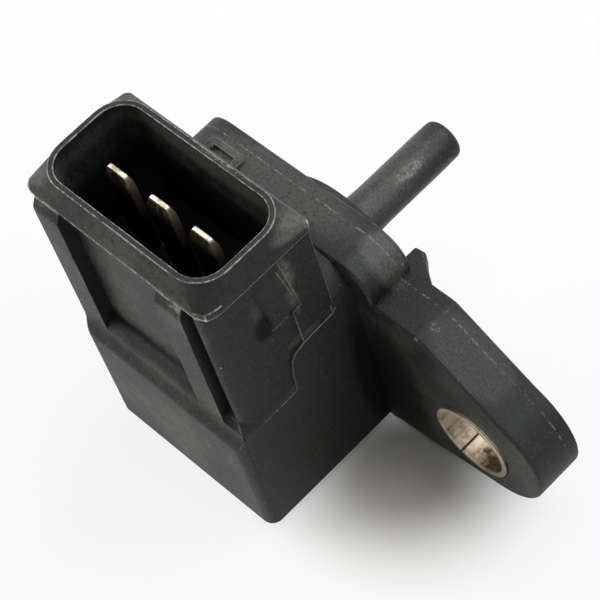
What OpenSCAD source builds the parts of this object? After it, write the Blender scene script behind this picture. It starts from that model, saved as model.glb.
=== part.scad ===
// Manifold absolute pressure sensor: moulded housing with a three-way plug, a bonded port cover with
// a bushed ear, and the sealed sensing circuit between them. All sizes are in millimetres.
// X runs toward the ear, Y along the pressure port, Z out of the plug mouth.
// The origin is the centre of the bush bore on the mounting face.

/* [Mounting] */
// radius of the bolt bore in the bush
bush_bore_r = 3.4; // [2.6:0.1:3.5]
// wall of the rolled bush
bush_wall = 0.5; // [0.4:0.05:0.8]
// how far the bush stands out of the ear on the bolt head side
bush_proud = 0.25; // [0.1:0.05:0.6]
// width of the split in the rolled bush
bush_split = 0.14; // [0.1:0.02:0.4]
// bush centre to body centre along X
bush_x = 21.1; // [20:0.1:24]
// bush centre above the body's underside
bush_z = 6.9; // [6:0.1:9]
// radius of the ear's end
ear_r = 6.2; // [5.6:0.1:7]

/* [Port cover] */
// thickness of the cover and its ear
cover_t = 4.74; // [4:0.1:6]
// left edge of the cover from the body centre
cover_left = 11.8; // [11:0.1:13]
// right edge of the cover from the body centre
cover_right = 12.1; // [11.5:0.1:13]
// height of the cover above the body's underside
cover_top = 22.43; // [22:0.1:24]
// how far the cover hangs below the body
cover_drop = 0.8; // [0.4:0.1:1.5]
// corner radius of the cover
cover_corner_r = 3.5; // [2:0.1:4]
// radius of the round pad at the foot of the port
pad_r = 8; // [6:0.1:8]
// height of the pad
pad_h = 0.55; // [0.3:0.05:1]
// outer radius of the port
port_r = 2; // [1.8:0.05:2.4]
// radius of the port's air passage
port_bore_r = 1; // [0.7:0.05:1.2]
// length of the port from the cover face to its tip
port_len = 13.65; // [10:0.1:18]
// port axis from the body centre
port_x = 2.3; // [1:0.1:3]
// port axis above the body's underside
port_z = 14.4; // [13:0.1:15]

/* [Housing] */
// width of the body
body_w = 20.06; // [19.8:0.1:20.6]
// depth of the body in front of the plug's back wall
body_front = 12.9; // [12.6:0.1:13.5]
// depth of the body behind the plug's back wall
body_back = 2; // [1.6:0.1:2.4]
// height of the body's front face
body_step_z = 12.8; // [11:0.1:13.5]
// height of the rounded shoulder behind the plug
shoulder_z = 22.3; // [22:0.1:22.4]
// wall around the sealed chamber
wall = 1.5; // [1.2:0.1:1.6]

/* [Plug] */
// height of the mouth's rim above the body's underside
rim_z = 34.1; // [32:0.1:37]
// width of the mouth opening
mouth_w = 18.76; // [18:0.1:19]
// depth of the mouth opening
mouth_d = 8.86; // [8.2:0.1:9]
// corner radius of the mouth opening
mouth_r = 2.5; // [1.5:0.1:3]
// thickness of the lip at the rim
lip_t = 0.55; // [0.4:0.05:0.8]
// drop of the sloped collar below the rim
collar_drop = 1.84; // [1:0.1:2.2]
// width of the collar's lower edge
collar_w = 21.34; // [20.8:0.1:22]
// depth of the collar's lower edge
collar_d = 11.64; // [11.4:0.1:12]
// depth of the plug cavity below the rim
cavity_depth = 11; // [9:0.1:11.2]
// radius of the plug's right front edge
edge_r = 0.8; // [0.5:0.05:0.9]
// how far the plug walls stand back from the body's sides
plug_inset = 0.3; // [0.2:0.05:0.4]
// height of the raised lip at the rim
lip_h = 0.25; // [0.15:0.05:0.4]
// wall of the plug below the lip
plug_wall = 1.02; // [0.9:0.02:1.1]
// depth of the catch pocket
pocket_depth = 0.72; // [0.5:0.02:0.76]
// width of the two front ribs
rib_w = 3; // [2:0.1:3.4]
// how far the ribs stand out of the front panel
rib_h = 1.34; // [0.8:0.1:1.6]
// depth of the front panel from the plug's back wall
panel_front = 10.8; // [10.7:0.1:11]

/* [Terminals] */
// distance between neighbouring blades
blade_pitch = 5; // [4.5:0.1:5.2]
// width of a blade
blade_w = 3; // [2:0.1:3.2]
// width of a blade's flat tip
blade_tip_w = 1.9; // [1:0.1:2]
// length of a blade's rounded shoulders
blade_shoulder = 2.2; // [1:0.1:3]
// thickness of a blade
blade_t = 0.8; // [0.6:0.05:0.9]
// distance from the blade tips up to the rim
blade_below_rim = 1.4; // [0.5:0.1:3]

/* [Circuit] */
// thickness of the ceramic circuit board
board_t = 0.8; // [0.6:0.05:1]
// gap between the board's edge and the chamber wall
board_gap = 0.15; // [0.1:0.05:0.3]
// outer radius of the cell's header
header_r = 3.5; // [3.2:0.1:3.8]
// wall of the header cup
header_wall = 0.9; // [0.7:0.1:1]
// side of the square pressure die
die_side = 2.2; // [1.8:0.1:2.4]
// side of the signal chip
chip_side = 4.4; // [3.5:0.1:4.6]
// length of a chip capacitor
capacitor_l = 1.6; // [1.2:0.1:1.8]

/* [Hidden] */
$fn = 48;
e = 0.02;
cover_y0 = body_back;
cover_y1 = cover_y0 + cover_t;
bush_r = bush_bore_r + bush_wall;
half_w = body_w / 2;
plug_half = half_w - plug_inset;
wing_half = half_w - plug_inset / 2;
plug_mid = -collar_d / 2;
collar_z = rim_z - collar_drop;
cavity_z = rim_z - cavity_depth;
cavity_half = plug_half - plug_wall;
cavity_half_d = mouth_d / 2 - 0.25;
chamber_top = 20.4;
chamber_front = -9.2;
board_back = -2.2;
board_front = board_back - board_t;
board_half = half_w - wall - board_gap;
board_low = wall + board_gap;
ledge = 1.1;
header_top = 1.2;
solder_w = 2.2;
solder_gap = 1.3;
header_floor = -1.8;
header_ledge = -0.6;
seal_h = 0.4;
gel_gap = 0.7;
board_margin = 1.6;
chip_h = 0.9;
chip_z = 3.35;
capacitor_gap = 2.2;
capacitor_step = 2.4;
resistor_w = 1.2;
resistor_h = 0.12;
resistor_gap = 0.5;
resistor_z = 9.75;
pedestal_h = 0.8;
pocket_half = die_side / 2 + 0.25;
gel_h = header_top - header_ledge - gel_gap;
front_half = blade_pitch + solder_w / 2 + solder_gap;
rib_1_x = -half_w + 0.09;
edge_y = panel_front + 0.8;
rib_2_x = 4.66;
blade_y = -6.17;
blade_top = rim_z - blade_below_rim;
foot_z = 18.2;
blade_shift = -0.15;
roll_z = 14.35;
roll_r = 1.35;
groove_in = half_w - 1.2;
groove_w = 0.8;
groove_h = 0.8;

function arc(cx, cy, r, a0, a1, n = 10) =
    [for (i = [0 : n]) let (a = a0 + (a1 - a0) * i / n) [cx + r * cos(a), cy + r * sin(a)]];

// moves the body's own frame (body centre, plug back wall, underside) to the bush bore
module placed() {
    translate([-bush_x, -cover_y1, -bush_z]) children();
}

// a box given by its two corners
module block(a, b) {
    translate(a) cube([b[0] - a[0], b[1] - a[1], b[2] - a[2]]);
}

// extrudes an XZ outline from y0 to y1
module plate(y0, y1) {
    translate([0, y1, 0]) rotate([90, 0, 0]) linear_extrude(y1 - y0) children();
}

// extrudes a YZ outline from x0 to x1
module across(x0, x1) {
    translate([x0, 0, 0]) rotate([90, 0, 90]) linear_extrude(x1 - x0) children();
}

// a cylinder along Y with its foot at y
module post(x, y, z, r, h) {
    translate([x, y, z]) rotate([-90, 0, 0]) cylinder(r = r, h = h);
}

function rounded(x0, z0, x1, z1, r, n = 6) = concat(
    arc(x1 - r, z1 - r, r, 0, 90, n), arc(x0 + r, z1 - r, r, 90, 180, n),
    arc(x0 + r, z0 + r, r, 180, 270, n), arc(x1 - r, z0 + r, r, 270, 360, n));

// front profile: the body's face, a smooth hollow, then a round roll up to the plug's panel
function ledge_curve() = concat(
    [for (i = [0 : 12]) let (t = i / 12)
        [-body_front + (body_front - panel_front - roll_r) * (1 - cos(180 * t)) / 2,
            body_step_z - 0.5 + (roll_z + 0.5 - body_step_z) * t]],
    arc(-panel_front, roll_z, roll_r, 172, 92, 10));

module body_plan() {
    polygon(concat(
        arc(-half_w + 1.1, -body_front + 1.1, 1.1, 180, 270, 6),
        arc(half_w - 1.1, -body_front + 1.1, 1.1, 270, 360, 6),
        [[half_w, body_back], [-half_w, body_back]]));
}

module body_block() {
    intersection() {
        across(-half_w, half_w) polygon(concat(
            [[0, 0], [-body_front, 0]],
            ledge_curve(),
            [[-panel_front + 1, roll_z + roll_r], [0, roll_z + roll_r]]));
        plate(-body_front - 1, 0) polygon(rounded(-half_w, -20, half_w, roll_z + roll_r, 1.9));
        linear_extrude(30) body_plan();
    }
}

// the sides stand a little proud of the plug walls, up to a stepped edge
module side_steps() {
    across(-half_w, half_w) polygon([[-11.4, 8], [-11.4, 13.2], [-10.2, 14.05], [-5.95, 14.15],
        [-5.8, 16.2], [-5.5, 17.9], [-5, 18.5], [-3.8, 18.9], [-0.4, 19.1], [0, 19.6], [0, 8]]);
}

// square wing that fills the plug's back corners
module wing() {
    across(-wing_half, wing_half) polygon([[0, 12], [0, collar_z - 0.6], [-3.98, collar_z - 0.6],
        [-3.65, 30.1], [-2.87, 23.25], [-3.77, 23.25], [-3.85, 12]]);
}

module shoulder() {
    plate(-0.4, body_back) polygon(concat(
        [[-half_w, 0], [half_w, 0]],
        arc(half_w - 3.2, shoulder_z - 3.2, 3.2, 0, 90, 8),
        arc(-half_w + 3.2, shoulder_z - 3.2, 3.2, 90, 180, 8)));
}

module rib(x) {
    across(x, x + rib_w) polygon([[-panel_front + 1, 13], [-panel_front - rib_h, 13],
        [-panel_front - rib_h, 30.3], [-panel_front - 0.8, 31.2], [-panel_front + 1, 31.2]]);
}

module plug_walls() {
    block([-plug_half, -panel_front, 10], [plug_half, 0, collar_z - 0.4]);
    translate([0, 0, 12]) linear_extrude(31.2 - 12)
        polygon(concat([[plug_half - edge_r, -panel_front + 1], [plug_half - edge_r, -edge_y]],
            arc(plug_half - edge_r, -edge_y + edge_r, edge_r, 270, 360, 8),
            [[plug_half, -panel_front + 1]]));
}

function mouth(out) = rounded(-mouth_w / 2 - out, -mouth_d / 2 - out,
    mouth_w / 2 + out, mouth_d / 2 + out, mouth_r + out, 10);

module collar() {
    hull() {
        translate([0, 0, collar_z - 0.85])
            linear_extrude(0.85)
                polygon([[-collar_w / 2, -collar_d], [collar_w / 2 - 1.3, -collar_d],
                    [collar_w / 2 - 0.4, -collar_d + 0.4], [collar_w / 2, -collar_d + 1.3],
                    [collar_w / 2, 0], [-collar_w / 2, 0]]);
        translate([0, plug_mid, rim_z - lip_h - 0.1])
            linear_extrude(0.1) polygon(mouth(lip_t));
    }
    translate([0, plug_mid, rim_z - lip_h - 0.1])
        linear_extrude(lip_h + 0.1) polygon(mouth(lip_t));
}

module plug_cavity() {
    translate([0, plug_mid, cavity_z])
        linear_extrude(cavity_depth + 1)
            polygon(rounded(-cavity_half, -cavity_half_d, cavity_half, cavity_half_d, 2.1, 10));
    hull() {
        translate([0, plug_mid, rim_z - 4])
            linear_extrude(0.1)
                polygon(rounded(-cavity_half, -cavity_half_d, cavity_half, cavity_half_d, 2.1, 10));
        translate([0, plug_mid, rim_z - 1.4])
            linear_extrude(2) polygon(mouth(0));
    }
}

// catch pocket in the plug's right wall, deepest toward the front and running out at the back
module catch_pocket() {
    hull() {
        across(plug_half - pocket_depth, plug_half + 1)
            polygon([[-6.5, 28.5], [-6.35, 28.5], [-5.95, 24.7], [-6.1, 24.7]]);
        across(plug_half - 0.02, plug_half + 1)
            polygon([[-6.6, 28.8], [-3.95, 28.95], [-2.95, 23.3], [-4.3, 23.05], [-5.85, 23],
                [-6.15, 23.9]]);
    }
}

module chamber() {
    block([-half_w + wall, board_front, wall], [half_w - wall, body_back + 1, chamber_top]);
    block([-front_half, chamber_front, wall + ledge],
        [front_half, board_front + e, chamber_top - ledge]);
}

module bead(h) {
    plate(body_back - h, body_back) difference() {
        polygon(rounded(-groove_in - groove_w, 0.4, groove_in + groove_w, shoulder_z - 0.4, 2.4));
        polygon(rounded(-groove_in, 0.4 + groove_w, groove_in, shoulder_z - 0.4 - groove_w, 1.6));
    }
}

module housing() {
    color([0.17, 0.18, 0.17]) placed() difference() {
        union() {
            body_block();
            side_steps();
            shoulder();
            plug_walls();
            collar();
            wing();
            rib(rib_1_x);
            rib(rib_2_x);
        }
        plug_cavity();
        chamber();
        catch_pocket();
        bead(groove_h);
        for (i = [-1 : 1])
            translate([i * blade_pitch + blade_shift, blade_y, 0])
                block([-blade_w / 2, -blade_t / 2, chamber_top - ledge - 1],
                    [blade_w / 2, blade_t / 2, cavity_z + 1]);
    }
}

// outline of the cover and its ear
module cover_outline() {
    difference() {
        polygon(concat(
            arc(-cover_left + cover_corner_r, cover_top - cover_corner_r, cover_corner_r, 180, 90, 10),
            arc(cover_right - 3.2, cover_top - 3.2, 3.2, 90, 10, 10),
            [[cover_right - 0.1, 18.77], [17.05, 18.77]],
            arc(bush_x + 1.4, bush_z + 0.8, ear_r, 66, -78, 26),
            [[11, -0.55], [10.6, -cover_drop], [-cover_left + 1, -cover_drop],
                [-cover_left, -cover_drop + 1]]));
        translate([bush_x, bush_z]) circle(bush_r);
    }
}

module port() {
    translate([port_x, cover_y1, port_z]) rotate([-90, 0, 0]) rotate_extrude()
        polygon(concat([[0, -1.5], [port_r + 0.15, -1.5], [port_r + 0.15, pad_h + 1],
            [port_r, pad_h + 4], [port_r, port_len - 2], [port_r - 0.04, port_len - 0.6]],
            arc(port_r - 0.64, port_len - 0.6, 0.6, 15, 90, 5),
            [[0, port_len]]));
}

// locating nib with its slanted brace on the ear's top
module nib() {
    translate([0, 0, 17.2]) linear_extrude(1.57)
        polygon([[10.75, cover_y1 - 0.6], [10.75, cover_y1 + 1.9], [11.75, cover_y1 + 2],
            [12.6, cover_y1 + 1.2], [14.4, cover_y1], [14.4, cover_y1 - 0.6]]);
}

// small catch loop standing on the cover's top edge, open toward the plug
module catch_loop() {
    translate([0, cover_y0, cover_top - 0.3]) linear_extrude(0.75)
        polygon([[-8.5, 1.5], [-7.7, 1.5], [-7.7, 2.1], [-5.3, 2.1], [-5.2, 1.5], [-4.4, 1.5],
            [-4.4, 2.5], [-4.8, 2.8], [-8.1, 2.8], [-8.5, 2.4]]);
}

module port_cover() {
    color([0.2, 0.21, 0.2]) placed() difference() {
        union() {
            plate(cover_y0, cover_y1) cover_outline();
            intersection() {
                post(port_x + 1.7, cover_y1 - 0.2, port_z, pad_r, pad_h + 0.2);
                block([-20, 0, -cover_drop], [30, 40, cover_top]);
            }
            port();
            nib();
            catch_loop();
            post(port_x, header_top + seal_h, port_z, header_r, 1);
        }
        post(port_x, 0, port_z, header_r - header_wall, cover_y0 + 1.6);
        post(port_x, 0, port_z, port_bore_r, 40);
        post(bush_x, 0, bush_z, bush_r, 10);
    }
}

module mounting_bush() {
    color([0.62, 0.58, 0.5]) placed() difference() {
        post(bush_x, cover_y0 - bush_proud, bush_z, bush_r, cover_t + bush_proud);
        post(bush_x, -1, bush_z, bush_bore_r, 10);
        translate([bush_x, 0, bush_z]) rotate([0, 118, 0])
            block([bush_bore_r - 1, -1, -bush_split / 2], [bush_r + 1, 9, bush_split / 2]);
    }
}

// one blade with its rounded and thinned tip, its stem through the plug floor and its foot
module terminal(i) {
    half = blade_w / 2;
    tip = blade_tip_w / 2;
    drop = blade_shoulder;
    color([0.66, 0.58, 0.42]) placed() translate([i * blade_pitch + blade_shift, blade_y, 0]) {
        intersection() {
            plate(-blade_t / 2, blade_t / 2) polygon([
                [-half, foot_z], [half, foot_z], [half, blade_top - drop],
                [half - 0.03, blade_top - 0.75 * drop], [half - 0.12, blade_top - 0.5 * drop],
                [half - 0.28, blade_top - 0.27 * drop], [half - 0.4, blade_top - 0.12 * drop],
                [tip, blade_top], [-tip, blade_top],
                [-half + 0.4, blade_top - 0.12 * drop], [-half + 0.28, blade_top - 0.27 * drop],
                [-half + 0.12, blade_top - 0.5 * drop], [-half + 0.03, blade_top - 0.75 * drop],
                [-half, blade_top - drop]]);
            across(-half, half) polygon([[-blade_t / 2, foot_z], [blade_t / 2, foot_z],
                [blade_t / 2, blade_top - 0.9], [blade_t / 4, blade_top],
                [-blade_t / 4, blade_top], [-blade_t / 2, blade_top - 0.9]]);
        }
        block([-0.9, 0, foot_z], [0.9, board_front - blade_y, foot_z + blade_t]);
    }
}

module circuit_board() {
    color([0.86, 0.85, 0.8]) placed()
        block([-board_half, board_front, board_low], [board_half, board_back, chamber_top - board_gap]);
}

module cell_header() {
    color([0.8, 0.8, 0.78]) placed() difference() {
        post(port_x, board_back, port_z, header_r, header_top - board_back);
        post(port_x, header_ledge, port_z, header_r - header_wall, 5);
        block([port_x - pocket_half, header_floor, port_z - pocket_half],
            [port_x + pocket_half, header_ledge + 1, port_z + pocket_half]);
    }
}

module glass_pedestal() {
    color([0.7, 0.82, 0.84]) placed()
        block([port_x - die_side / 2, header_floor, port_z - die_side / 2],
            [port_x + die_side / 2, header_floor + pedestal_h, port_z + die_side / 2]);
}

module pressure_die() {
    color([0.3, 0.32, 0.36]) placed()
        block([port_x - die_side / 2, header_floor + pedestal_h, port_z - die_side / 2],
            [port_x + die_side / 2, header_ledge, port_z + die_side / 2]);
}

// soft gel over the die, kept clear of the wire loops by a round channel
module gel_fill() {
    color([0.85, 0.88, 0.9]) placed() difference() {
        post(port_x, header_ledge, port_z, header_r - header_wall, gel_h);
        difference() {
            post(port_x, header_ledge - 1, port_z, pocket_half + 0.45, 1.5);
            post(port_x, header_ledge - 1, port_z, die_side / 2 - 0.3, 1.5);
        }
    }
}

module bond_wires() {
    color([0.85, 0.68, 0.3]) placed() for (a = [0 : 90 : 270])
        translate([port_x, header_ledge, port_z]) rotate([0, a, 0])
            translate([(die_side / 2 + pocket_half) / 2 + 0.02, 0, 0])
                rotate_extrude(angle = 180, $fn = 32)
                    translate([0.3, 0]) circle(r = 0.08, $fn = 16);
}

// a chip on the board, placed from the board's left edge and lower edge
module on_board(x, z, size) {
    block([x - board_half, board_back, z + board_low],
        [x - board_half + size[0], board_back + size[1], z + board_low + size[2]]);
}

module signal_chip() {
    color([0.12, 0.12, 0.13]) placed()
        on_board(board_margin, chip_z, [chip_side, chip_h, chip_side]);
}

// capacitors stand in rows to the right of the signal chip
module capacitor(column, row) {
    color([0.55, 0.45, 0.34]) placed()
        on_board(board_margin + chip_side + capacitor_gap + column * capacitor_step,
            chip_z + row * capacitor_step, [capacitor_l, capacitor_l / 2, capacitor_l / 2]);
}

// film resistors lie above the signal chip
module trim_resistor(column) {
    color([0.2, 0.24, 0.22]) placed()
        on_board(board_margin + column * (resistor_w + resistor_gap), resistor_z,
            [resistor_w, resistor_h, chip_side / 2]);
}

module solder_joints() {
    color([0.7, 0.7, 0.72]) placed() for (i = [-1 : 1])
        translate([i * blade_pitch + blade_shift, board_front, foot_z])
            block([-solder_w / 2, -0.3, -0.5], [solder_w / 2, 0, 0]);
}

module chamber_seal() {
    color([0.25, 0.22, 0.22]) placed() difference() {
        post(port_x, header_top, port_z, header_r, seal_h);
        post(port_x, header_top - 1, port_z, header_r - header_wall, 3);
    }
}

module cover_bond() {
    color([0.35, 0.34, 0.3]) placed() bead(groove_h);
}

housing();
port_cover();
mounting_bush();
terminal(-1);  // terminal_1
terminal(0);  // terminal_2
terminal(1);  // terminal_3
circuit_board();
cell_header();
glass_pedestal();
pressure_die();
gel_fill();
bond_wires();
signal_chip();
capacitor(0, 0);  // capacitor_1
capacitor(1, 0);  // capacitor_2
capacitor(0, 1);  // capacitor_3
trim_resistor(0);  // trim_resistor_1
trim_resistor(1);  // trim_resistor_2
solder_joints();
chamber_seal();
cover_bond();
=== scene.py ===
# %% [markdown]
# A manifold absolute pressure sensor, dressed for a close look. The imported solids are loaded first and
# stay the measure of everything: every length here is in metres in their frame, with the origin in the
# bush bore, X toward the ear, Y along the pressure port and Z out of the plug mouth.

# %% Load the solids and note their box
import math

import bpy
from mathutils import Matrix, Vector


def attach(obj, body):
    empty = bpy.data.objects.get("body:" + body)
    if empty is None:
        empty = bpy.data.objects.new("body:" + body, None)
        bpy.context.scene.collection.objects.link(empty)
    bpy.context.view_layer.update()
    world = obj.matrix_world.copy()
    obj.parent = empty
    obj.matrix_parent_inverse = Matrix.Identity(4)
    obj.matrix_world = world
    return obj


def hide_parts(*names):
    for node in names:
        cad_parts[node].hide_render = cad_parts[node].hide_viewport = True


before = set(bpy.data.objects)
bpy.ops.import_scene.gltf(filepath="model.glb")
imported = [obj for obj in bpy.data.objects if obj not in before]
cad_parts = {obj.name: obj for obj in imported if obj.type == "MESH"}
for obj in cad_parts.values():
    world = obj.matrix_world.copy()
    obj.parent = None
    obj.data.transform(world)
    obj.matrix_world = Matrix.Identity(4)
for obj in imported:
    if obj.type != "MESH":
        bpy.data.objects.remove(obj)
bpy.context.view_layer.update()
MM = 0.001
print("solids loaded:", len(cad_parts))

# %% [markdown]
# The camera stands where the photograph was taken from. Its place and turn were worked out from edges
# whose lengths are known, and a long lens keeps the far edges nearly parallel to the near ones. Places
# on the part are easier to read from the box than from the bush, so spot() takes them in millimetres
# from the body's centre line, the plug's back wall and the underside.

# %% The camera
BODY = Vector((-21.1, -6.74, -6.9)) * MM
SENSOR_WIDTH = 36
PHOTO_WIDTH = 600
FOCAL_PIXELS = 2426.4
CAMERA_PLACE = (107.17, -55.64, 181.32)
CAMERA_RIGHT = Vector((0.6929, 0.6942, -0.1951))
CAMERA_UP = Vector((-0.5144, 0.6654, 0.541))


def spot(x, y, z):
    """A place given in millimetres from the body's centre line, plug back wall and underside."""
    return BODY + Vector((x, y, z)) * MM


lens = bpy.data.cameras.new("photo_lens")
lens.sensor_width = SENSOR_WIDTH
lens.lens = SENSOR_WIDTH * FOCAL_PIXELS / PHOTO_WIDTH
lens.clip_start = 0.01
lens.clip_end = 10
camera = bpy.data.objects.new("photo_camera", lens)
bpy.context.scene.collection.objects.link(camera)
back = CAMERA_RIGHT.cross(CAMERA_UP).normalized()
turn = Matrix((CAMERA_RIGHT.normalized(), back.cross(CAMERA_RIGHT).normalized(), back)).transposed()
camera.matrix_world = Matrix.Translation(spot(*CAMERA_PLACE)) @ turn.to_4x4()
bpy.context.scene.camera = camera
bpy.context.scene.view_settings.view_transform = "Standard"
print("camera at", [round(v, 4) for v in camera.location])

# %% [markdown]
# Shader sums read best as sums. This small class wraps a node's output, so that a + b or a * b in
# Python adds the Math node that does it. A finish is then written as a few lines of arithmetic.

# %% Shader sums as Python
class Wire:
    """One output in a node tree, on which the usual sums work."""

    def __init__(self, nodes, socket):
        self.nodes = nodes
        self.socket = socket

    def sums(self, operation, first, second):
        return self.nodes.node("ShaderNodeMath", {0: first, 1: second}, operation=operation)

    def __add__(self, other):
        return self.sums("ADD", self, other)

    def __radd__(self, other):
        return self.sums("ADD", other, self)

    def __sub__(self, other):
        return self.sums("SUBTRACT", self, other)

    def __mul__(self, other):
        return self.sums("MULTIPLY", self, other)

    def __rmul__(self, other):
        return self.sums("MULTIPLY", other, self)

    def at_most(self, other):
        return self.sums("MINIMUM", self, other)

    def at_least(self, other):
        return self.sums("MAXIMUM", self, other)

    def step(self, low, high):
        """0 below low and 1 above high, with a soft slope between; low may be the larger one."""
        ends = {"Value": self, "From Min": low, "From Max": high, "To Min": 0.0, "To Max": 1.0}
        return self.nodes.node("ShaderNodeMapRange", ends, interpolation_type="SMOOTHSTEP", clamp=True)


# %% A node tree and a finish
class Nodes:
    """A node tree, emptied, with short ways to fill it."""

    def __init__(self, tree):
        self.tree = tree
        self.tree.nodes.clear()

    def node(self, kind, sockets=None, out=0, **settings):
        """Add a node with its settings, then fill its sockets with values or wires."""
        made = self.tree.nodes.new(kind)
        for key, value in settings.items():
            setattr(made, key, value)
        for key, value in (sockets or {}).items():
            target = made.inputs[key]
            if isinstance(value, Wire):
                self.tree.links.new(value.socket, target)
            elif hasattr(target.default_value, "__len__") and len(target.default_value) == 4:
                target.default_value = (*value[:3], 1)
            else:
                target.default_value = value
        return Wire(self, made.outputs[out]) if made.outputs else None

    def either(self, factor, first, second):
        """Two surfaces mixed by a factor from 0 to 1."""
        return self.node("ShaderNodeMixShader", {0: factor, 1: first, 2: second})


class Finish(Nodes):
    """One material and the nodes that make it."""

    def __init__(self, name):
        self.material = bpy.data.materials.new(name)
        self.material.use_nodes = True
        super().__init__(self.material.node_tree)
        self.place = self.node("ShaderNodeTexCoord", out="Object")

    def mix(self, factor, first, second):
        """Two colours mixed by a factor from 0 to 1."""
        return self.node("ShaderNodeMix", {0: factor, 6: first, 7: second}, out=2, data_type="RGBA")

    def noise(self, scale, detail, roughness=0.5, place=None):
        """Soft noise about 0.5; scale is roughly the number of blobs in a metre."""
        return self.node("ShaderNodeTexNoise", {"Vector": place or self.place, "Scale": scale,
                                                "Detail": detail, "Roughness": roughness})

    def stretched(self, scale):
        """The object's coordinates, squeezed or pulled along each axis."""
        return self.node("ShaderNodeMapping", {"Vector": self.place, "Scale": scale})

    def bumps(self, height, strength, depth):
        """A normal that pretends the surface rises by depth metres where height is 1."""
        return self.node("ShaderNodeBump", {"Strength": strength, "Distance": depth, "Height": height})

    def plain(self, sockets):
        """A Principled surface."""
        return self.node("ShaderNodeBsdfPrincipled", sockets)

    def skin(self, surface):
        """The material, ended in the surface that is given."""
        self.node("ShaderNodeOutputMaterial", {"Surface": surface})
        return self.material


# %% [markdown]
# The mouldings are black glass-filled plastic that has lived under a bonnet. It is nearly black by
# itself: most of the grey that shows is sheen from the room. On top of it lie a fine sparkle of grain,
# a thin olive film, beige dust in a few places, and edges that are rubbed pale in patches. The film and
# sparkle are laid on more thickly on the faces toward -Y as painted light, patches of grey film carry
# painted highlights, and two corners carry painted shade. Each of these is a mask, and each mask is
# placed in millimetres on the part, so that it can be moved by hand.

# %% Masks for places on the part
RAGGED_EDGE = (1300, 4, 0.75)


def around(f, centre, radii, soft, ragged):
    """1 inside an ellipsoid and 0 outside it, with a ragged edge; all in body millimetres."""
    offset = f.node("ShaderNodeVectorMath", {0: f.place, 1: spot(*centre)}, operation="SUBTRACT")
    sizes = [radius * MM for radius in radii]
    scaled = f.node("ShaderNodeVectorMath", {0: offset, 1: sizes}, operation="DIVIDE")
    away = f.node("ShaderNodeVectorMath", {0: scaled}, out="Value", operation="LENGTH")
    return (away + (f.noise(*RAGGED_EDGE) - 0.5) * ragged).step(1.0 + soft, 1.0 - soft)


def between(f, axis, low, high, soft):
    """1 between two planes across an axis, in body millimetres."""
    along = f.node("ShaderNodeSeparateXYZ", {"Vector": f.place}, out=axis)
    shift = BODY["XYZ".index(axis)]
    rise = along.step(shift + (low - soft) * MM, shift + low * MM)
    fall = along.step(shift + (high + soft) * MM, shift + high * MM)
    return rise * fall


def patches(f, places, soft, ragged):
    """The strongest of several placed patches."""
    found = None
    for centre, radii, strength in places:
        patch = around(f, centre, radii, soft, ragged) * strength
        found = patch if found is None else found.at_least(patch)
    return found


def front_for_painted_light(f):
    """1 on the faces that look the way the ribs do, along -Y, and nearly 0 on the others; these faces get
    painted light.
    """
    normal = f.node("ShaderNodeTexCoord", out="Normal")
    along = f.node("ShaderNodeSeparateXYZ", {"Vector": normal}, out="Y")
    return 0.06 + 0.94 * along.step(-0.5, -0.9)


# %% Where the plastic is dusty, filmy, chipped or worn
# Each patch is a centre, three radii and a strength.
DUSTY = [
    ((9.6, -1.0, 33.0), (1.4, 1.6, 1.2), 0.40),
    ((-9.8, -10.8, 32.9), (1.6, 1.2, 1.0), 0.45),
    ((-9.4, -1.2, 33.2), (1.5, 1.5, 1.0), 0.20),
    ((10.1, -3.2, 28.0), (0.8, 0.6, 1.8), 0.62),
    ((10.0, -3.3, 24.6), (0.8, 0.4, 1.8), 0.42),
    ((9.8, -6.9, 26.4), (0.8, 0.35, 1.6), 0.16),
    ((9.9, -3.6, 19.4), (0.8, 1.4, 0.4), 0.30),
    ((11.6, 7.1, 18.0), (0.8, 0.7, 0.5), 0.60),
    ((-6.6, 4.4, 22.5), (2.4, 0.7, 0.6), 0.35),
    ((3.0, -12.5, 14.2), (7.0, 1.4, 0.4), 0.14),
]

# Corners with painted shade, mixed over to a darker, duller plastic: the ear's root beside the box, and the
# catch pocket.
PAINTED_SHADE_CORNERS = [
    ((12.0, 1.2, 7.5), (4.2, 1.6, 9.5), 0.85),
    ((9.6, -6.6, 24.2), (1.0, 1.0, 1.5), 0.80),
]

# Thin grey film with painted highlight where the light catches: inside the rim, on the lands, on the flange
# and the ear.
FILM_AND_HIGHLIGHTS = [
    ((0.0, -1.7, 33.0), (9.0, 0.7, 1.2), 0.95),
    ((-8.6, -6.0, 32.8), (0.8, 4.5, 1.2), 0.35),
    ((10.3, -1.6, 33.0), (1.0, 2.0, 0.8), 0.80),
    ((10.6, 5.2, 20.8), (2.6, 1.6, 2.8), 0.65),
    ((2.3, 12.0, 15.6), (2.0, 7.5, 1.6), 0.50),
    ((0.0, 5.0, 22.6), (9.0, 2.2, 0.6), 0.45),
    ((2.3, 7.5, 16.0), (2.0, 2.6, 1.2), 0.55),
    ((20.0, 4.4, 16.0), (4.5, 2.4, 3.5), 0.22),
]

# Chips and scuffs where the plug's edges and the cover have been knocked.
CHIPS = [
    ((7.2, -12.1, 31.0), (1.0, 0.5, 0.30), 0.9),
    ((9.7, -11.3, 31.45), (1.0, 0.7, 0.20), 0.9),
    ((-9.2, -12.0, 31.0), (0.9, 0.4, 0.25), 0.5),
    ((2.2, -0.75, 34.0), (3.0, 0.4, 0.4), 0.35),
    ((-5.0, -0.1, 32.2), (4.0, 0.4, 0.4), 0.35),
    ((10.6, 0.0, 32.2), (0.5, 0.5, 0.5), 0.6),
    ((-10.6, 0.2, 32.3), (1.2, 0.7, 0.8), 0.5),
    ((17.4, 3.9, 18.6), (0.5, 0.3, 0.3), 0.6),
    ((16.9, 2.2, 18.5), (0.22, 0.22, 0.22), 1.0),
    ((3.4, 15.0, 16.2), (0.5, 1.6, 0.6), 0.35),
]

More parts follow.
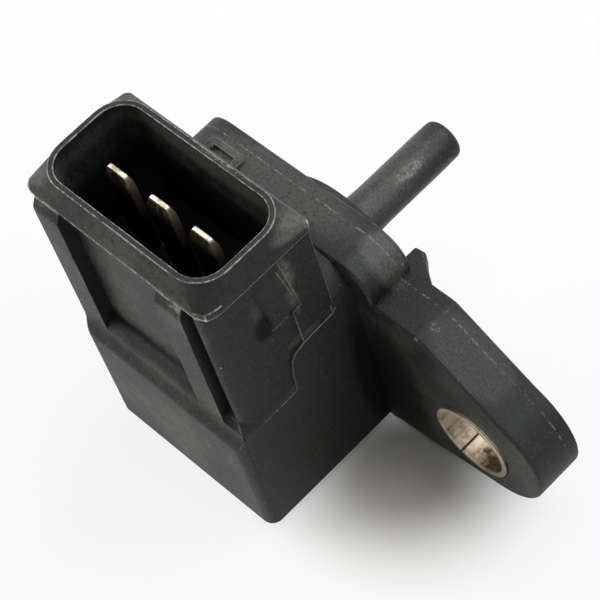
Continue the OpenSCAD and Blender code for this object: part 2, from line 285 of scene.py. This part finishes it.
# Where hands and the hose have rubbed the cover satin: the port, the flange's round end, the ear's slope.
SATIN = [
    ((2.3, 13.0, 14.4), (3.2, 8.0, 3.2), 1.0),
    ((11.0, 4.6, 20.5), (3.0, 3.4, 4.5), 1.0),
    ((19.5, 4.6, 15.6), (5.0, 3.4, 3.6), 0.8),
]
print("patches placed:", len(DUSTY + PAINTED_SHADE_CORNERS + FILM_AND_HIGHLIGHTS + CHIPS + SATIN))

# %% [markdown]
# The plastic is built up in layers, one over the other: the bare black, the film with painted light on
# the faces toward -Y, the sparkle, also stronger there, the grey film with painted highlights, the dust,
# the chips, the line where the mould parts, and last the edges that are rubbed through. Only colour and
# roughness change from place to place, and the sheen stays the same, except in two corners of painted
# shade that are mixed over to a darker, duller plastic. A picture could give the same look for one view,
# but masks and noise hold from every side and at any size.

# %% The black plastic
# Noise is named by its scale, detail and roughness.
GRAIN = (4800, 3, 0.6)
FINE_GRAIN = (7600, 1)
MOTTLE = (1500, 4, 0.6)
CLOUD = (130, 4, 0.55)
CHIP_SHAPE = (2300, 3, 0.7)
LINE_BREAKS = (1900, 4, 0.7)
SPECK_GROUPS = (800, 1)
FLASH_BREAKS = (2100, 4, 0.7)
RUBBED_PATCHES = (260, 3, 0.6)
NICKS = (2300, 4, 0.75)
SPECKS_PER_METRE = 560.0
GRAIN_DEPTH = 0.00007

BLACK = (0.0045, 0.0050, 0.0050)
BLACK_MOTTLED = (0.0100, 0.0106, 0.0102)
OLIVE_FILM_AND_LIGHT = (0.088, 0.090, 0.066)
GLASS_SPARKLE = (0.27, 0.27, 0.255)
GREY_FILM_AND_HIGHLIGHT = (0.135, 0.135, 0.128)
BEIGE_DUST = (0.20, 0.182, 0.145)
CHIPPED = (0.52, 0.51, 0.47)
PARTING_LINE = (0.42, 0.41, 0.38)
WHITE_SPECK = (0.50, 0.49, 0.45)
COLLAR_FLASH = (0.62, 0.61, 0.56)
RUBBED = (0.52, 0.51, 0.48)
RUBBED_WHITE = (0.88, 0.87, 0.82)
UNWORN = {"Base Color": (0.007, 0.0075, 0.0075), "Roughness": 0.5, "Specular IOR Level": 0.35}
SHADED = {"Base Color": (0.003, 0.0033, 0.0033), "Roughness": 0.7, "Specular IOR Level": 0.08}


def marks(f, colour):
    """The moulding's own pale lines and specks, laid over a colour."""
    parting = between(f, "Y", 5.50, 5.60, 0.05) * between(f, "Z", 9.0, 24.0, 1.5)
    broken = f.noise(*LINE_BREAKS).step(0.46, 0.62)
    lined = f.mix(parting * broken * 0.38, colour, PARTING_LINE)
    speck = f.node("ShaderNodeTexVoronoi", {"Vector": f.place, "Scale": SPECKS_PER_METRE}, feature="F1")
    dots = speck.step(0.095, 0.06) * f.noise(*SPECK_GROUPS).step(0.60, 0.66)
    specked = f.mix(dots * 0.8, lined, WHITE_SPECK)
    front_edge = between(f, "Z", 31.50, 31.74, 0.05) * between(f, "Y", -13.0, -11.3, 0.1)
    dotted = front_edge * f.noise(*FLASH_BREAKS).step(0.44, 0.58)
    return f.mix(dotted * 0.75, specked, COLLAR_FLASH)


def rub_through(f, colour, rubbed):
    """Wear through a colour: patchy on most edges, stronger on the rim and white below the collar."""
    patchy = f.noise(*RUBBED_PATCHES).step(0.40, 0.62)
    nicks = f.noise(*NICKS).step(0.42, 0.60)
    rim = between(f, "Z", 31.2, 34.4, 0.2)
    under = between(f, "Z", 31.25, 31.7, 0.15)
    rub = patchy * 0.25 + nicks * (0.2 + 0.6 * rim) + rim * 0.14 + under * 0.7
    return f.mix(rub.at_most(1.0) * rubbed, colour, f.mix(under, RUBBED, RUBBED_WHITE))


def black_plastic(name, rubbed=0.0):
    """The mouldings' plastic; rubbed is how far its outer layer is worn through."""
    f = Finish(name)
    grain = f.noise(*GRAIN)
    mottle = f.noise(*MOTTLE)
    front = front_for_painted_light(f)
    bare = f.mix(mottle.step(0.3, 0.72), BLACK, BLACK_MOTTLED)
    # More olive film and sparkle on the faces toward -Y: partly film, partly painted light on the lit
    # front.
    film = f.noise(*CLOUD).step(0.34, 0.66) * mottle.step(0.25, 0.60) * front
    filmed_and_lit = f.mix(film * 0.8, bare, OLIVE_FILM_AND_LIGHT)
    sparkle = f.noise(*FINE_GRAIN).step(0.58, 0.72) * grain.step(0.50, 0.64)
    glittered_and_lit = f.mix(sparkle * (0.36 + 0.45 * front), filmed_and_lit, GLASS_SPARKLE)
    # Grey film patches: partly film, partly painted highlight on the rim, flange, port and ear.
    filmy_and_highlighted = f.mix(patches(f, FILM_AND_HIGHLIGHTS, 0.3, 0.5) * grain.step(0.2, 0.6), glittered_and_lit, GREY_FILM_AND_HIGHLIGHT)
    dust = patches(f, DUSTY, 0.6, 0.7)
    dusty = f.mix(dust * mottle.step(0.25, 0.65), filmy_and_highlighted, BEIGE_DUST)
    chips = patches(f, CHIPS, 0.4, 1.5) * f.noise(*CHIP_SHAPE).step(0.42, 0.62)
    marked = marks(f, f.mix(chips, dusty, CHIPPED))
    satin = patches(f, SATIN, 0.15, 0.4)
    worn = f.plain({"Base Color": rub_through(f, marked, rubbed),
                    "Roughness": 0.47 + 0.10 * mottle + 0.2 * dust - 0.17 * satin,
                    "Specular IOR Level": 0.27, "Specular Tint": (0.94, 1.0, 0.97),
                    "Normal": f.bumps(grain * 0.7 + mottle * 0.5, 0.7, GRAIN_DEPTH)})
    # Two corners are mixed over to the darker, duller SHADED plastic: painted shade.
    return f.skin(f.either(patches(f, PAINTED_SHADE_CORNERS, 0.3, 0.3), worn, f.plain(SHADED)))


plastic = black_plastic("black_plastic")
plastic_edge = black_plastic("black_plastic_rubbed_edge", rubbed=0.8)
print("plastic made:", plastic.name, plastic_edge.name)

# %% [markdown]
# Inside the plug mouth the walls take a finish of their own, darker and duller the lower they lie: this is
# painted shade, and it fades in with the height, with a ragged limit.

# %% The plastic inside the plug mouth
FADE_FROM = 30.9
FADE_TO = 28.2
FADE_RAGGED = 3.0


def mouth_plastic_painted_shade(name):
    f = Finish(name)
    height = f.node("ShaderNodeSeparateXYZ", {"Vector": f.place}, out="Z")
    ragged = height + (f.noise(600, 4, 0.6) - 0.5) * (FADE_RAGGED * MM)
    # Lower on the walls the plastic turns darker and duller: painted shade down in the mouth.
    fade = ragged.step(BODY.z + FADE_FROM * MM, BODY.z + FADE_TO * MM)
    return f.skin(f.either(fade, f.plain(UNWORN), f.plain(SHADED)))


plastic_mouth_shade = mouth_plastic_painted_shade("black_plastic_mouth_shade")
print("plastic made:", plastic_mouth_shade.name)

# %% [markdown]
# The blades are tin over brass, browned by heat with their tips scraped bright by the socket, and lower
# down in the mouth they are painted dark with shade. The bush is rolled from plated strip, so it is
# bright with brown stains and fine lines along the roll.

# %% Blade and bush metal
BLADE_TIPS = 32.62
BRASS = (0.24, 0.165, 0.082)
BRASS_BROWNED = (0.060, 0.040, 0.022)
BRASS_SCRAPED = (0.70, 0.60, 0.42)
BRASS_PAINTED_SHADE = (0.012, 0.010, 0.008)
TIN_BRIGHT = (0.92, 0.85, 0.68)
PLATING = (0.88, 0.77, 0.59)
PLATING_BROWNED = (0.090, 0.062, 0.038)
PLATING_LIP = (0.55, 0.50, 0.40)


def blade_metal(name, scraped, shade_below):
    """The blades' metal; scraped is how bright it is rubbed, and below a height in mm it is painted dark
    with shade.
    """
    f = Finish(name)
    stain = f.noise(700, 5, 0.65)
    scrape = f.noise(2600, 3, 0.5, f.stretched((1.0, 1.0, 0.12)))
    tip = between(f, "Z", BLADE_TIPS, 34.0, 0.25)
    # Below the given height the metal is painted dark: painted shade lower in the mouth.
    deep = between(f, "Z", 16.0, shade_below, 32.1 - shade_below)
    colour = f.mix(stain.step(0.35, 0.62), BRASS, BRASS_BROWNED)
    bright = f.mix(scrape.step(0.5, 0.7) * 0.4 + scraped, colour, BRASS_SCRAPED)
    shade_darkened = f.mix(deep, bright, BRASS_PAINTED_SHADE)
    clean = 0.30 + 0.70 * stain.step(0.62, 0.44)
    tipped = f.mix(tip * clean * (0.6 + 0.4 * scrape), shade_darkened, TIN_BRIGHT)
    return f.skin(f.plain({"Base Color": tipped, "Metallic": 0.9, "Roughness": 0.30 + 0.3 * stain,
                           "Normal": f.bumps(scrape, 0.4, 0.00004)}))


def bush_metal(name):
    f = Finish(name)
    stain = f.noise(620, 5, 0.65)
    turned = f.noise(2600, 3, 0.6, f.stretched((1.0, 0.12, 1.0)))
    browned = around(f, (24.2, 4.4, 4.6), (3.2, 6.0, 3.2), 0.5, 0.8)
    stained = stain.step(0.42, 0.62) * 0.6 + browned * 0.95 + turned.step(0.5, 0.75) * 0.3
    colour = f.mix(stained.at_most(1.0), PLATING, PLATING_BROWNED)
    lip = between(f, "Y", 1.5, 1.86, 0.05)
    rimmed = f.mix(lip * 0.5, colour, PLATING_LIP)
    return f.skin(f.plain({"Base Color": rimmed, "Metallic": 0.85, "Roughness": 0.30 + 0.25 * stain,
                           "Normal": f.bumps(turned, 0.5, 0.00005)}))


brass = blade_metal("blade_brass", 0.0, 30.0)
brass_edge = blade_metal("blade_brass_scraped_edge", 0.2, 26.5)
steel = bush_metal("bush_steel")
print("metal made:", brass.name, brass_edge.name, steel.name)

# %% [markdown]
# The circuit is hidden in the sealed chamber, but it is still given its real materials, so that the
# part can be opened and looked into.

# %% Finishes of the hidden circuit
def plain_finish(name, colour, roughness, metallic=0.0):
    """A finish with one colour, a little darker in fine spots."""
    f = Finish(name)
    mottle = f.noise(2500, 3, 0.6)
    darker = tuple(v * 0.8 for v in colour)
    return f.skin(f.plain({"Base Color": f.mix(mottle, colour, darker), "Metallic": metallic,
                           "Roughness": roughness + 0.1 * mottle, "Normal": f.bumps(mottle, 0.3, 0.00001)}))


hidden = {
    "circuit_board": plain_finish("board_ceramic", (0.80, 0.79, 0.74), 0.55),
    "cell_header": plain_finish("header_plastic", (0.72, 0.72, 0.68), 0.45),
    "glass_pedestal": plain_finish("pedestal_glass", (0.62, 0.74, 0.76), 0.08),
    "pressure_die": plain_finish("die_silicon", (0.28, 0.30, 0.35), 0.12, 0.7),
    "gel_fill": plain_finish("soft_gel", (0.75, 0.77, 0.78), 0.2),
    "bond_wires": plain_finish("wire_gold", (0.83, 0.62, 0.25), 0.25, 1.0),
    "signal_chip": plain_finish("chip_black", (0.03, 0.03, 0.033), 0.5),
    "capacitor_1": plain_finish("capacitor_body", (0.42, 0.30, 0.20), 0.4),
    "trim_resistor_1": plain_finish("resistor_film", (0.03, 0.045, 0.04), 0.2),
    "solder_joints": plain_finish("solder", (0.62, 0.62, 0.63), 0.35, 1.0),
    "cover_bond": plain_finish("sealant", (0.06, 0.055, 0.05), 0.6),
}
hidden["capacitor_2"] = hidden["capacitor_1"]
hidden["capacitor_3"] = hidden["capacitor_1"]
hidden["trim_resistor_2"] = hidden["trim_resistor_1"]
hidden["chamber_seal"] = hidden["cover_bond"]
for node, material in hidden.items():
    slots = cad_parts[node].data.materials
    slots.clear()
    slots.append(material)
print("hidden pieces finished:", len(hidden))

# %% [markdown]
# A moulding has no knife edges: the tool leaves a small radius on each, and that radius is what
# catches the light. So each moulding is a merged copy of its solid with a fine bevel on every edge that
# stands out, and the bevel's own faces take the rubbed finish. The Bevel modifier would narrow all of
# its bevels where one of them is short of room, so the edges are picked here and bevelled by bpy.ops.

# %% A copy of a solid, ready to be worked on
MERGE_DISTANCE = 0.000002
FLAT_ANGLE = math.radians(0.6)


def only(piece):
    bpy.ops.object.select_all(action="DESELECT")
    bpy.context.view_layer.objects.active = piece
    piece.select_set(True)


def copied(node, name, *finishes):
    """A copy of a solid, merged and with its flat faces joined up, that stands in for the solid."""
    piece = bpy.data.objects.new(name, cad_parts[node].data.copy())
    bpy.context.scene.collection.objects.link(piece)
    piece.data.materials.clear()
    for finish in finishes:
        piece.data.materials.append(finish)
    only(piece)
    bpy.ops.object.mode_set(mode="EDIT")
    bpy.ops.mesh.select_all(action="SELECT")
    bpy.ops.mesh.remove_doubles(threshold=MERGE_DISTANCE)
    bpy.ops.mesh.dissolve_limited(angle_limit=FLAT_ANGLE)
    bpy.ops.object.mode_set(mode="OBJECT")
    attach(piece, "root")
    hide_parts(node)
    return piece


# %% Bevels on the edges that stand out
SHARP = math.radians(32)
SMOOTH_BELOW = math.radians(35)


def convex_turns(mesh):
    """The turn between the two faces at each edge that stands out of the solid, by the edge's key."""
    sides = {}
    for face in mesh.polygons:
        ring = list(face.vertices)
        for index, start in enumerate(ring):
            end = ring[(index + 1) % len(ring)]
            sides.setdefault(tuple(sorted((start, end))), []).append((face, start, end))
    turns = {}
    for key, pair in sides.items():
        if len(pair) != 2:
            continue
        (first, start, end), (second, _, _) = pair
        along = mesh.vertices[end].co - mesh.vertices[start].co
        inward = first.normal.cross(along)
        if second.normal.dot(inward) < 0:
            turns[key] = first.normal.angle(second.normal, 0)
    return turns


def bevel_edges(piece, wanted, width, segments, finish):
    """Bevel the outward edges that wanted(start, end, turn) picks; places are in body millimetres."""
    turns = convex_turns(piece.data)
    only(piece)
    bpy.ops.object.mode_set(mode="EDIT")
    bpy.ops.mesh.select_mode(type="EDGE")
    bpy.ops.mesh.select_all(action="DESELECT")
    bpy.ops.object.mode_set(mode="OBJECT")
    count = 0
    for edge in piece.data.edges:
        ends = [(piece.data.vertices[index].co - BODY) / MM for index in edge.vertices]
        edge.select = edge.key in turns and wanted(*ends, turns[edge.key])
        count += edge.select
    bpy.ops.object.mode_set(mode="EDIT")
    bpy.ops.mesh.bevel(offset=width, segments=segments, affect="EDGES", material=finish)
    bpy.ops.object.mode_set(mode="OBJECT")
    print(piece.name, "edges bevelled:", count)


def any_sharp(start, end, turn):
    return turn > SHARP


def soften(piece, width, finish=1):
    """A fine bevel on every outward edge still sharp, with normals that keep the flat faces flat."""
    bevel_edges(piece, any_sharp, width, 2, finish)
    bpy.ops.object.shade_smooth_by_angle(angle=SMOOTH_BELOW)
    normals = piece.modifiers.new("normals", "WEIGHTED_NORMAL")
    normals.keep_sharp = True
    bpy.ops.object.modifier_apply(modifier="normals")
    print(piece.name, "faces", len(piece.data.polygons))


# %% [markdown]
# Some edges are rounder on the real part than the rest: the collar's corners, the ribs' tops, the
# cover's outline, the crease in the ear and the nib. Each is picked by where it lies.

# %% Which edges are rounder
SAME = 0.02
FLANGE_FRONT = 2
BUSH_CENTRE = (21.1, 6.9)
BUSH_CLEAR = 4.6


def outer_rim(start, end, turn):
    """The cover's outline on the side of the box, where it stands clear of the box."""
    in_face = abs(start.y - FLANGE_FRONT) < SAME and abs(end.y - FLANGE_FRONT) < SAME
    off_bush = math.dist((start.x, start.z), BUSH_CENTRE) > BUSH_CLEAR
    clear = max(start.x, end.x) > 10.6 or min(start.z, end.z) > 21.5
    return in_face and off_bush and clear and turn > 1


def ear_crease(start, end, turn):
    """The edge across the ear's top where its flat turns into its slope."""
    across = abs(start.x - end.x) < SAME and abs(start.z - end.z) < SAME
    return across and 16 < start.x < 18 and start.z > 18 and abs(start.y - end.y) > 2


def collar_corner(start, end, turn):
    """The upright corners of the collar's lower band."""
    upright = abs(start.x - end.x) < SAME and abs(start.y - end.y) < SAME
    return upright and abs(start.x) > 10.5 and min(start.z, end.z) > 31 and abs(start.z - end.z) > 0.5


def rib_end(start, end, turn):
    """The top of each rib where its front face tips back."""
    level = abs(start.z - end.z) < SAME and abs(start.y - end.y) < SAME
    return level and 30 < start.z < 31 and start.y < -11.5 and turn > 0.3


def nib_top(start, end, turn):
    """The nib's top corner."""
    return min(start.z, end.z) > 18.7 and min(start.y, end.y) > 6.9 and turn > 1


# %% [markdown]
# The housing is one moulding: the sealed box, the plug's shroud with its sloped collar, and two ribs.
# It could be modelled again from a cube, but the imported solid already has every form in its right
# place, so a copy of it is softened: first the places that are rounder, then every other sharp edge.

# %% The housing
FINE_EDGE = 0.09 * MM


def in_mouth(corner):
    """Whether a corner of a face lies on the inside of the plug mouth, in body millimetres."""
    return abs(corner.x) < 8.9 and -11 < corner.y < -1 and 16 < corner.z < 31


housing = copied("housing", "housing_moulding", plastic, plastic_edge, plastic_mouth_shade)
# Faces inside the plug mouth take the third finish, which carries painted shade.
for face in housing.data.polygons:
    if all(in_mouth((housing.data.vertices[index].co - BODY) / MM) for index in face.vertices):
        face.material_index = 2
bevel_edges(housing, collar_corner, 0.6 * MM, 3, 0)
bevel_edges(housing, rib_end, 0.3 * MM, 3, 0)
soften(housing, FINE_EDGE)

# %% [markdown]
# The cover closes the box's open back and carries the flange, the ear and the port. It is softened in
# the same way. Its outline gets a larger radius with more segments, because that long curved edge is
# the one that catches a highlight.

# %% The cover with its port and ear
cover = copied("port_cover", "cover_moulding", plastic, plastic_edge)
bevel_edges(cover, ear_crease, 0.35 * MM, 3, 0)
bevel_edges(cover, outer_rim, 0.35 * MM, 4, 0)
bevel_edges(cover, nib_top, 0.3 * MM, 3, 0)
soften(cover, FINE_EDGE)

# %% [markdown]
# The blades are cut from strip: their broad faces keep the browned plating, and their cut sides are
# scraped brighter, so the sides take the second finish. The bush is rolled from thin strip and keeps
# crisp edges, so its bevel is the finest of all.

# %% The metal parts
for number in (1, 2, 3):
    blade = copied(f"terminal_{number}", f"blade_{number}", brass, brass_edge)
    for face in blade.data.polygons:
        face.material_index = int(abs(face.normal.x) > 0.3)
    soften(blade, 0.10 * MM)
bush = copied("mounting_bush", "rolled_bush", steel)
soften(bush, 0.05 * MM, 0)

# %% [markdown]
# The part stands on a pale table. The table's white comes from its own colour and, for the rays that
# see it directly, from a glow that fades out below the part, so that the part's shadow stays. The rays
# that carry soft light don't see the glow, so it brightens nothing but its own reflection.

# %% The table
TABLE_TOP = -0.82
TABLE_GREY = (0.93, 0.93, 0.93)
TABLE_SHADOW_TINT = (0.93, 0.91, 0.82)
SHADOW_PLACE = spot(14.5, -1.5, TABLE_TOP)
GLOW = 0.82


def seen_directly(nodes):
    """1 for the rays by which the camera, a mirror or a glass sees a surface, and 0 for its light."""
    seen = None
    for ray in ("Is Camera Ray", "Is Glossy Ray", "Is Transmission Ray"):
        kind = nodes.node("ShaderNodeLightPath", out=ray)
        seen = kind if seen is None else seen.at_least(kind)
    return seen


bpy.ops.object.select_all(action="DESELECT")
bpy.ops.mesh.primitive_plane_add(size=3, location=(0, 0, 0))
table = bpy.context.object
table.name = "table"
table.data.transform(Matrix.Translation(spot(0, 0, TABLE_TOP)))
f = Finish("table_white")
away = f.node("ShaderNodeVectorMath", {0: f.place, 1: SHADOW_PLACE}, out="Value", operation="DISTANCE")
# A warm tint round the part's shadow on the table: painted shadow tint.
colour = f.mix(away.step(14 * MM, 4 * MM), TABLE_GREY, TABLE_SHADOW_TINT)
paper = f.plain({"Base Color": colour, "Roughness": 0.9})
glow = f.node("ShaderNodeEmission", {"Color": (1, 1, 1), "Strength": 1.0})
share = seen_directly(f) * (away.step(3 * MM, 14 * MM) * GLOW)
table.data.materials.append(f.skin(f.either(share, paper, glow)))
print("table at", round(spot(0, 0, TABLE_TOP).z, 5))

# %% [markdown]
# The light is plain and soft: five large lamps and a dim room. The stronger ones stand to the upper
# left and behind, as in the photograph, so the front faces are lit and the right side falls into shade.

# %% Lamps and room
LAMP_SIZE = 0.45
LAMP_DISTANCE = 0.75
LAMP_AIM = spot(3, -4, 15)
LAMPS = [
    ("key", (-1, -0.45, 0.75), 1.5),
    ("left", (-1, -0.15, 0.35), 2.5),
    ("far", (0, 0.7, 1), 2.5),
    ("window", (0.7, 0.5, 0.8), 2.0),
    ("ceiling", (0, 0, 1), 0.75),
]

for name, toward, power in LAMPS:
    data = bpy.data.lights.new(name, "AREA")
    data.size = LAMP_SIZE
    data.energy = power
    lamp = bpy.data.objects.new(name, data)
    bpy.context.scene.collection.objects.link(lamp)
    ahead = Vector(toward).normalized()
    lamp.location = LAMP_AIM + ahead * LAMP_DISTANCE
    lamp.rotation_euler = ahead.to_track_quat("Z", "Y").to_euler()

world = bpy.data.worlds.new("room")
bpy.context.scene.world = world
world.use_nodes = True
air = Nodes(world.node_tree)
room = air.node("ShaderNodeBackground", {"Color": (1, 1, 1), "Strength": 0.03})
white = air.node("ShaderNodeBackground", {"Color": (1, 1, 1), "Strength": 1.0})
air.node("ShaderNodeOutputWorld", {"Surface": air.either(seen_directly(air), room, white)})
print("lamps lit:", len(LAMPS))
